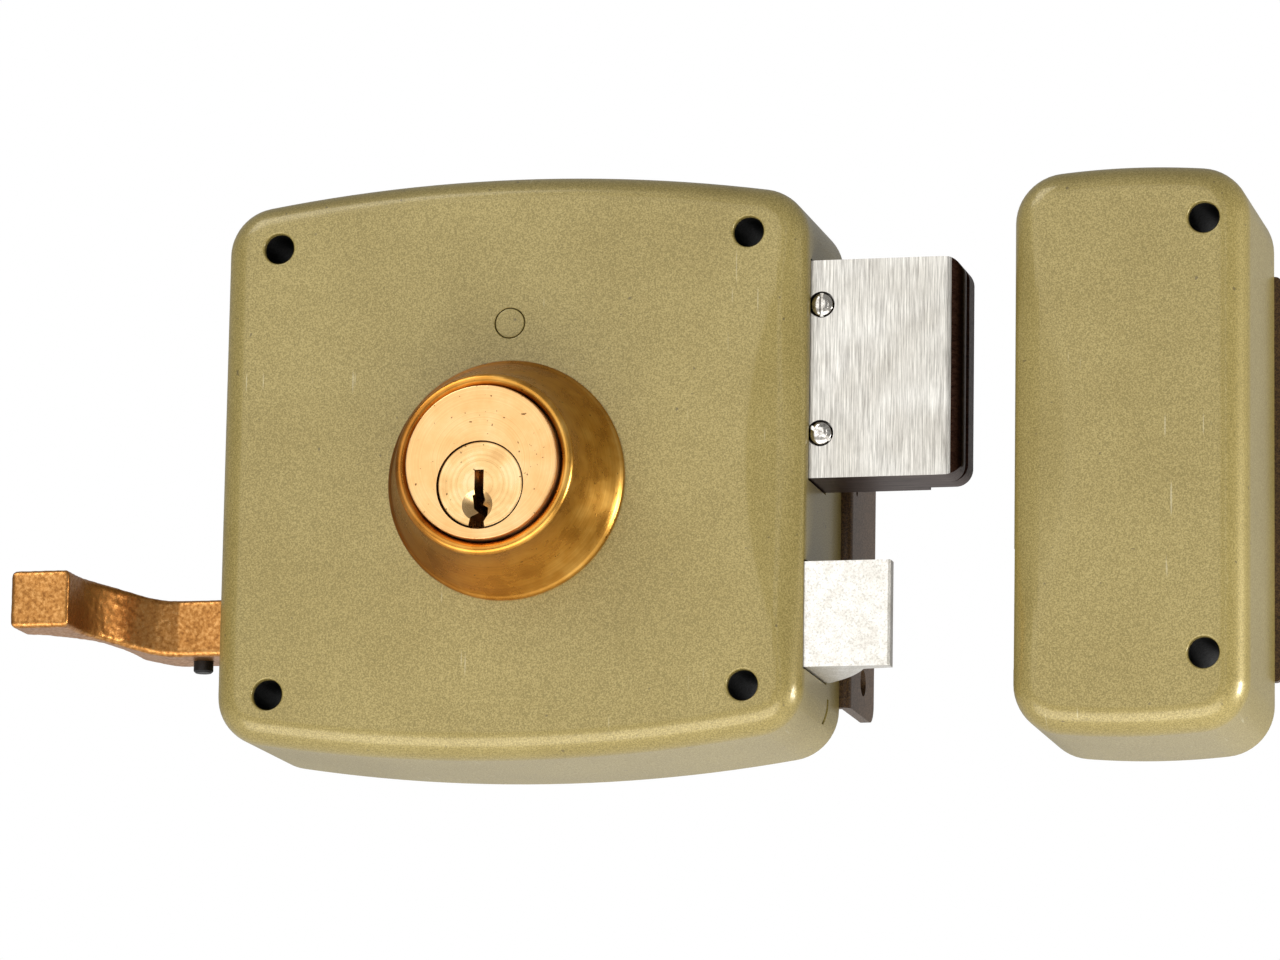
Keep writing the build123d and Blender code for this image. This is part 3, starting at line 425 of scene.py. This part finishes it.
def drawnCover(name, node, cover):
    low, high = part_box(node)
    front, back = low.y, high.y
    halfWidth, halfHeight = (high.x - low.x) / 2, (high.z - low.z) / 2
    middle = ((low.x + high.x) / 2, (low.z + high.z) / 2)
    side = cover["side"]
    edgeX = middle[0] + side * halfWidth
    cover["middle"] = middle
    cover["dishAxisX"] = edgeX - side * cover["dishReach"] + side * cover["dishRadius"]
    corner, edge = cover["corner"], cover["edge"]
    outline = coverOutline(middle, halfWidth, halfHeight, cover["bow"], corner)
    deselectAll()
    bpy.ops.mesh.primitive_circle_add(vertices=len(outline), radius=halfWidth, fill_type="NGON")
    piece = startPiece(name)
    for vertex, (x, z) in zip(piece.data.vertices, outline):
        vertex.co = (x, back, z)
    editMode(piece, vertices=lambda co: True)
    bpy.ops.mesh.extrude_region_move(TRANSFORM_OT_translate={"value": (0, front + edge - back, 0)})
    # the pressed edge is a quarter round, made by stepping in and out
    turns = cover["edgeTurns"]
    for i in range(turns):
        start, end = math.pi / 2 * i / turns, math.pi / 2 * (i + 1) / turns
        bpy.ops.mesh.inset(
            thickness=edge * (math.cos(start) - math.cos(end)), depth=edge * (math.sin(end) - math.sin(start))
        )
    objectMode()
    editMode(piece, vertices=lambda co: True)
    bpy.ops.mesh.normals_make_consistent(inside=False)
    objectMode()
    editMode(piece, faces=lambda centre, normal: normal.y > 0.99)
    bpy.ops.mesh.delete(type="FACE")
    objectMode()
    # close slices where the face is dished; then the face is pressed back, less and less down the edge
    deepest = edgeX - side * (cover["dishReach"] + cover["beyondCrease"])
    sliceMesh(piece, steps(deepest, edgeX - side * cover["fromWall"], cover["sliceX"]), "X")
    sliceMesh(piece, steps(low.z + corner, high.z - corner, cover["sliceZ"]), "Z")
    for vertex in piece.data.vertices:
        share = (front + edge - vertex.co.y) / edge
        if share > 0:
            vertex.co.y += share * share * dishDepth(vertex.co.x, vertex.co.z, cover)
    addModifier(piece, "SOLIDIFY", thickness=cover["wall"], offset=-1, use_even_offset=True)
    for x, z, radius, rounding in cover["holes"]:
        # a turned cutter that flares at the face, so the hole's rim is rounded
        mouth = [(radius + rounding, front - cover["holeAbove"]), (radius + rounding, front)]
        for i in range(1, 5):
            turn = math.pi / 8 * i
            mouth.append((radius + rounding * (1 - math.sin(turn)), front + rounding * (1 - math.cos(turn))))
        mouth.append((radius, front + cover["holeBelow"]))
        cutAway(piece, [turned("cutter", mouth, (x, 0, z), 64, capped=True)])
    for boxLow, boxHigh in cover["windows"]:
        cutAway(piece, [block(boxLow, boxHigh)])
    editMode(piece, vertices=lambda co: True)
    bpy.ops.mesh.remove_doubles(threshold=1e-6)
    objectMode()
    return piece


def boxOf(names, clearance):
    # the room that these nodes need in a wall: their box, wider by the clearance in Y and Z
    boxes = [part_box(name) for name in names]
    low = Vector([min(b[0][i] for b in boxes) for i in range(3)])
    high = Vector([max(b[1][i] for b in boxes) for i in range(3)])
    gap = Vector((0, clearance, clearance))
    return low - gap, high + gap


openings = {
    "gap": mm(0.4), "keeperGap": mm(1.1), "inward": mm(4), "outward": mm(2),
    "slotLow": (-mm(13.8), -mm(46)), "slotHigh": (-mm(12.2), -mm(41)),  # (y, z) of the slot by the flange
    "rodRadius": mm(3.3), "rodDepth": mm(8),
}
caseLow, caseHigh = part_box("case_cover")
boltLow, boltHigh = boxOf(["bolt_head", "bolt_nose"], openings["gap"])
latchLow, latchHigh = boxOf(["latch_head"], openings["gap"])
inX, outX = caseHigh.x - openings["inward"], caseHigh.x + openings["outward"]
caseShape = {
    "side": 1, "bow": mm(330), "corner": mm(10), "edge": mm(5.5), "edgeTurns": 8, "wall": mm(1.5),
    "dishReach": mm(11.3), "dishRadius": mm(106), "dishDepth": mm(3.2), "creaseSoft": mm(0.6),
    "beyondCrease": mm(6), "fromWall": mm(0.3), "sliceX": mm(0.9), "sliceZ": mm(3),
    "holeAbove": mm(1), "holeBelow": mm(6),
    # each hole is (x, z, radius, rounding): four for screws, the cylinder's and the rivet's
    "holes": [(mm(x), mm(z), mm(3.1), mm(0.45)) for x in (-48.5, 48.5) for z in (-42, 49)] + [
        (0, 0, mm(15.6), mm(0.2)), (0, mm(32), mm(3.12), mm(0.2))],
    "windows": [
        ((inX, boltLow.y, boltLow.z), (outX, boltHigh.y, boltHigh.z)),
        ((inX, latchLow.y, latchLow.z), (outX, latchHigh.y, latchHigh.z)),
        ((inX, *openings["slotLow"]), (outX, *openings["slotHigh"])),
    ],
}
caseCover = drawnCover("drawnCaseCover", "case_cover", caseShape)
rodLow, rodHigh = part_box("latch_rod")
rodAt = (caseLow.x, (rodLow.y + rodHigh.y) / 2, (rodLow.z + rodHigh.z) / 2)
cutAway(caseCover, [roundBar(rodAt, openings["rodRadius"], openings["rodDepth"], "X")])
finishPiece(caseCover, "lock_case", caseEnamel, ["case_cover"], 28)

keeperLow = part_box("keeper_cover")[0]
mouthGap = openings["keeperGap"]
keeperShape = dict(
    caseShape, side=-1, bow=mm(150), dishReach=mm(12), dishRadius=mm(88),
    holes=[(mm(139.5), mm(z), mm(3.1), mm(0.45)) for z in (-37.5, 48.5)],
    windows=[
        (
            (keeperLow.x - openings["outward"], low.y, low.z - mouthGap),
            (keeperLow.x + openings["inward"], high.y + mouthGap, high.z + mouthGap),
        )
        for low, high in ((boltLow, boltHigh), (latchLow, latchHigh))
    ],
)
keeperCover = drawnCover("drawnKeeperCover", "keeper_cover", keeperShape)
finishPiece(keeperCover, "keeper", caseEnamel, ["keeper_cover"], 28)

rivetShape = {"radius": mm(3.0), "round": mm(0.35), "x": 0.0, "z": mm(32)}
rivetLow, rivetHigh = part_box("face_rivet")
rivet = turned("flushRivet", [
    (rivetShape["radius"], rivetHigh.y),
    (rivetShape["radius"], rivetLow.y + rivetShape["round"]),
    (rivetShape["radius"] - rivetShape["round"] * 0.3, rivetLow.y + rivetShape["round"] * 0.3),
    (rivetShape["radius"] - rivetShape["round"], rivetLow.y),
], (rivetShape["x"], 0, rivetShape["z"]), capped=True)
finishPiece(rivet, "lock_case", caseEnamel, ["face_rivet"])

# collar, cylinder and plug
collarShape = {
    "bore": mm(15.7), "foot": mm(24.2), "footWall": mm(0.7), "footEdge": (mm(0.35), mm(1.15)),
    "coneStart": (mm(0.8), mm(1.5)), "coneSteps": 12, "cove": mm(1.1),
    "bead": mm(1.25), "beadCentre": mm(16.95), "beadSteps": 9, "lipDepth": mm(3),
}


def collarProfile(shape, low, high):
    # foot, hollowed cone, round bead at the lip, then down inside
    back, front = high.y, low.y
    foot, bead, beadX = shape["foot"], shape["bead"], shape["beadCentre"]
    footIn, footUp = shape["footEdge"]
    points = [(shape["bore"], back), (foot, back), (foot, back - shape["footWall"])]
    points.append((foot - footIn, back - footUp))
    startRadius, startY = foot - shape["coneStart"][0], back - shape["coneStart"][1]
    endRadius, endY = beadX + bead * 0.97, front + bead * 1.3
    for i in range(shape["coneSteps"] + 1):
        t = i / shape["coneSteps"]
        hollow = shape["cove"] * math.sin(math.pi * t) * (0.35 + 0.65 * t)
        points.append((startRadius + (endRadius - startRadius) * t - hollow, startY + (endY - startY) * t))
    for i in range(shape["beadSteps"] + 1):
        turn = math.radians(-5 + 185 * i / shape["beadSteps"])
        points.append((beadX + bead * math.cos(turn), front + bead - bead * math.sin(turn)))
    points.append((shape["bore"], front + shape["lipDepth"]))
    points.append((shape["bore"], back))
    return points


collarLow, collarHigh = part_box("collar")
collar = turned("turnedCollar", collarProfile(collarShape, collarLow, collarHigh))
finishPiece(collar, "lock_case", collarBrass, ["collar"], 40)

bodyLow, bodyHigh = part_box("cylinder_body")
plugLow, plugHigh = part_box("key_plug")
plugCentre = (0.0, 0.0, (plugLow.z + plugHigh.z) / 2)
cylinderShape = {
    "radius": bodyHigh.x, "edge": mm(0.45), "plugGap": mm(0.42), "gapSlip": mm(0.12), "bore": mm(50),
}
cylinder = turned("turnedCylinder", [
    (cylinderShape["radius"], bodyHigh.y),
    (cylinderShape["radius"], bodyLow.y + cylinderShape["edge"]),
    (cylinderShape["radius"] - cylinderShape["edge"] * 0.3, bodyLow.y + cylinderShape["edge"] * 0.3),
    (cylinderShape["radius"] - cylinderShape["edge"], bodyLow.y),
], capped=True)
plugRadius = plugHigh.x
# the plug sits a little off its bore, so the dark gap is wider on one side
slip = cylinderShape["gapSlip"]
boreAt = (-slip, (bodyLow.y + bodyHigh.y) / 2, plugCentre[2] - slip / 2)
boreRadius = plugRadius + cylinderShape["plugGap"] / 2
cutAway(cylinder, [roundBar(boreAt, boreRadius, cylinderShape["bore"], segments=128)])
finishPiece(cylinder, "lock_case", faceBrass, ["cylinder_body"])

plugShape = {
    "edge": mm(0.12), "trim": mm(0.12),
    "dimpleAt": (-0.5, -4.1), "dimpleRadius": mm(3.1), "dimpleTip": mm(0.6), "dimpleDepth": mm(1.7),
    # the keyway from the plug's centre, in millimetres: narrow above and warded below
    "keyway": [
        (-1.15, 2.9), (-1.15, -1.9), (-1.65, -2.1), (-1.5, -4.6), (-0.5, -5.5),
        (-1.85, -6.4), (-2.5, -9.6), (1.2, -9.6), (0.9, -7.4), (1.6, -6.3),
        (1.6, -4.6), (0.25, -3.8), (0.9, -3.0), (0.7, -1.9), (0.7, 2.9),
    ],
    "keywayLength": mm(30),
}


def keywayCutter(outline, centre, front, length):
    # the outline as a flat face, extruded into a bar
    deselectAll()
    bpy.ops.mesh.primitive_circle_add(vertices=len(outline), radius=mm(1), fill_type="NGON")
    bar = startPiece("cutter")
    for vertex, (x, z) in zip(bar.data.vertices, outline):
        vertex.co = (centre[0] + mm(x), front - mm(1), centre[2] + mm(z))
    editMode(bar, vertices=lambda co: True)
    bpy.ops.mesh.extrude_region_move(TRANSFORM_OT_translate={"value": (0, length, 0)})
    bpy.ops.mesh.select_all(action="SELECT")
    bpy.ops.mesh.normals_make_consistent(inside=False)
    objectMode()
    return bar


plug = turned("turnedPlug", [
    (plugRadius - plugShape["trim"], plugHigh.y),
    (plugRadius - plugShape["trim"], plugLow.y + plugShape["edge"]),
    (plugRadius - plugShape["trim"] - plugShape["edge"], plugLow.y),
], plugCentre, capped=True)
deselectAll()
dimpleX, dimpleZ = plugShape["dimpleAt"]
bpy.ops.mesh.primitive_cone_add(
    vertices=96, radius1=plugShape["dimpleRadius"], radius2=plugShape["dimpleTip"],
    depth=plugShape["dimpleDepth"],
    location=(mm(dimpleX), plugLow.y + plugShape["dimpleDepth"] / 2 - mm(0.01), plugCentre[2] + mm(dimpleZ)),
    rotation=(-math.pi / 2, 0, 0),
)
dimple = startPiece("cutter")
settle(dimple)
keyway = keywayCutter(plugShape["keyway"], plugCentre, plugLow.y, plugShape["keywayLength"])
cutAway(plug, [dimple, keyway])
finishPiece(plug, "key_plug", plugBrass, ["key_plug"], 25)

# deadbolt head and its screws
boltHead = {"corner": mm(3.5), "endRound": mm(2.6), "pocket": mm(2.65), "pocketDepth": mm(2.4)}


def boltHeadPiece(shape, low, high, screwsAt):
    # a plain block: rounded end corners, one long rounded end edge, crisp upper and lower edges
    piece = block(low, high)
    piece.name = "linishedBoltHead"
    near = 1e-5
    editMode(piece, edges=lambda a, b: abs(a.y - b.y) > near and a.x > high.x - near)
    bpy.ops.mesh.bevel(offset=shape["corner"], segments=8, affect="EDGES", clamp_overlap=False)
    objectMode()
    endX = high.x - shape["corner"] - near
    editMode(piece, edges=lambda a, b: max(a.y, b.y) < low.y + near and min(a.x, b.x) > endX)
    bpy.ops.mesh.bevel(offset=shape["endRound"], segments=6, affect="EDGES", clamp_overlap=False)
    objectMode()
    for x, z in screwsAt:
        cutAway(piece, [roundBar((x, low.y, z), shape["pocket"], 2 * shape["pocketDepth"], segments=64)])
    return piece


boltScrew = {
    "fromCase": mm(2.2), "spread": mm(13), "sunk": mm(0.35), "radius": mm(2.4), "dome": mm(1.0),
    "wall": mm(1.4), "shank": mm(1.6), "length": mm(9), "slotWidth": mm(0.75), "slotDepth": mm(1.0),
    "slotTurns": (0, -55), "slotReach": mm(4), "slotHeight": mm(3),
}
headLow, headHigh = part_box("bolt_head")
screwX, screwMiddleZ = caseHigh.x + boltScrew["fromCase"], (headLow.z + headHigh.z) / 2
screwsAt = [(screwX, screwMiddleZ + boltScrew["spread"]), (screwX, screwMiddleZ - boltScrew["spread"])]
head = boltHeadPiece(boltHead, headLow, headHigh, screwsAt)
finishPiece(head, "deadbolt", boltSteel, ["bolt_head"], 30)
# only the front is brushed; the sides get the dark brown steel as painted shade
head.data.materials.append(shadedBoltSteel)
for face in head.data.polygons:
    face.material_index = 0 if face.normal.y < -0.95 else 1

lip = headLow.y + boltScrew["sunk"]
domeTurns = [math.radians(12 * i) for i in range(7)]
dome = [(boltScrew["radius"] * math.cos(a), lip - boltScrew["dome"] * math.sin(a)) for a in domeTurns]
screwProfile = [
    (boltScrew["shank"], lip + boltScrew["length"]),
    (boltScrew["shank"], lip + boltScrew["wall"]),
    (boltScrew["radius"], lip + boltScrew["wall"]),
] + dome
for name, (x, z), slotTurn in zip(("upperBoltScrew", "lowerBoltScrew"), screwsAt, boltScrew["slotTurns"]):
    screw = turned(name, screwProfile, (x, 0, z), segments=64, capped=True)
    halfSlot, reach = boltScrew["slotWidth"] / 2, boltScrew["slotReach"]
    slot = block((-halfSlot, -boltScrew["slotHeight"], -reach), (halfSlot, 0, reach))
    slot.rotation_euler = (0, math.radians(slotTurn), 0)
    slot.location = (x, lip - boltScrew["dome"] + boltScrew["slotDepth"], z)
    settle(slot)
    cutAway(screw, [slot])
    finishPiece(screw, "deadbolt", screwNickel, ["bolt_screws"], 40)

# cast pull
castShape = {
    "voxel": mm(0.42), "padRise": mm(2.2), "barEnd": -mm(72), "padStart": -mm(86),
    "sandGrain": mm(1.3), "skin": mm(0.18),
}


def copyOf(node, name):
    piece = bpy.data.objects.new(name, nodes[node].data.copy())
    bpy.context.scene.collection.objects.link(piece)
    piece.matrix_world = nodes[node].matrix_world.copy()
    settle(piece)
    editMode(piece, vertices=lambda co: True)
    bpy.ops.mesh.remove_doubles(threshold=1e-6)
    objectMode()
    return piece


def castPull(shape):
    # remeshed so that its skin can be sandy and its edges soft
    piece = copyOf("pull_handle", "castPull")
    addModifier(piece, "REMESH", mode="VOXEL", voxel_size=shape["voxel"])
    addModifier(piece, "SMOOTH", factor=0.5, iterations=4)
    for vertex in piece.data.vertices:
        along = (shape["barEnd"] - vertex.co.x) / (shape["barEnd"] - shape["padStart"])
        along = min(1.0, max(0.0, along))
        vertex.co.z += shape["padRise"] * along * along * (3 - 2 * along)
    sand = bpy.data.textures.new("castSand", "CLOUDS")
    sand.noise_scale = shape["sandGrain"]
    sand.noise_depth = 2
    addModifier(
        piece, "DISPLACE", texture=sand, texture_coords="LOCAL", strength=shape["skin"], mid_level=0.5
    )
    return piece


finishPiece(castPull(castShape), "latch", castBrass, ["pull_handle"], 80)

# latch spring: the coil stands on the bracket at its left end
coil = copyOf("latch_spring", "latchCoil")
finishPiece(coil, "lock_case", springWire, ["latch_spring"], 60)
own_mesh(coil)

# floor, light and camera
studio = {
    "floorZ": -0.5, "floorSize": 8.0,
    "cameraAt": (0.3258, -1.2671, -0.2400), "lookAt": (0.02243, -0.020, 0.00324), "roll": 0.97, "lens": 182.9,
}
deselectAll()
bpy.ops.mesh.primitive_plane_add(size=studio["floorSize"], location=(0, 0, studio["floorZ"]))
floor = startPiece("studioFloor")
settle(floor)
floorPaint, floorTree, floorShader, floorPlace = newMaterial(
    "floorPaint", Roughness=0.85, Emission_Color=colour("#F1F0EE"), Emission_Strength=0.35
)
floorCloud = addNode(
    floorTree, "TexNoise", {"Scale": 1 / mm(400), "Detail": 3.0, "Roughness": 0.55}, Vector=floorPlace
)
floorColour = addNode(floorTree, "ValToRGB", {"stops": [(0.3, "#EEEDEA"), (0.7, "#F4F3F1")]}, Fac=floorCloud)
toShader(floorTree, floorShader, Base_Color=floorColour)
floor.data.materials.append(floorPaint)


def softbox(name, location, aim, size, power):
    light = bpy.data.lights.new(name, "AREA")
    light.shape = "RECTANGLE"
    light.size, light.size_y = size
    light.energy = power
    holder = bpy.data.objects.new(name, light)
    holder.location = location
    holder.rotation_euler = (Vector(aim) - Vector(location)).to_track_quat("-Z", "Y").to_euler()
    bpy.context.scene.collection.objects.link(holder)


softbox("keyLight", (-0.35, -1.25, 0.33), (0, 0, 0), (0.95, 0.95), 3.9)
softbox("topLight", (-0.6, -0.7, 0.9), (0, 0, 0), (0.6, 0.6), 5)
softbox("bounceLight", (0.0, -0.35, -0.45), (0.02, -0.02, -0.02), (0.9, 0.5), 4.5)
softbox("sideLight", (0.75, -0.07, -0.12), (0.148, 0, 0), (0.2, 0.2), 4.5)
softbox("stripLight", (0.5, -1.07, 0.2), (0.1, 0, 0), (0.05, 0.7), 0.4)

world = bpy.data.worlds.new("studioWhite")
bpy.context.scene.world = world
world.use_nodes = True
sky = world.node_tree
background = sky.nodes["Background"]
sight = addNode(sky, "LightPath", out="Is Camera Ray")
# white to the eye, softer as light
tone = addNode(sky, "MapRange", {"To Min": 0.38, "To Max": 1.0}, Value=sight)
background.inputs["Color"].default_value = colour("#FFFFFF")
sky.links.new(tone, background.inputs["Strength"])

view = bpy.data.cameras.new("view")
view.lens = studio["lens"]
view.clip_start = 0.05
camera = bpy.data.objects.new("view", view)
camera.location = studio["cameraAt"]
towards = (Vector(studio["lookAt"]) - Vector(studio["cameraAt"])).to_track_quat("-Z", "Y")
rolled = Matrix.Rotation(math.radians(studio["roll"]), 3, "Z")
camera.rotation_euler = (towards.to_matrix() @ rolled).to_euler()
bpy.context.scene.collection.objects.link(camera)
bpy.context.scene.camera = camera
bpy.context.scene.view_settings.view_transform = "Standard"
print("studio ready")
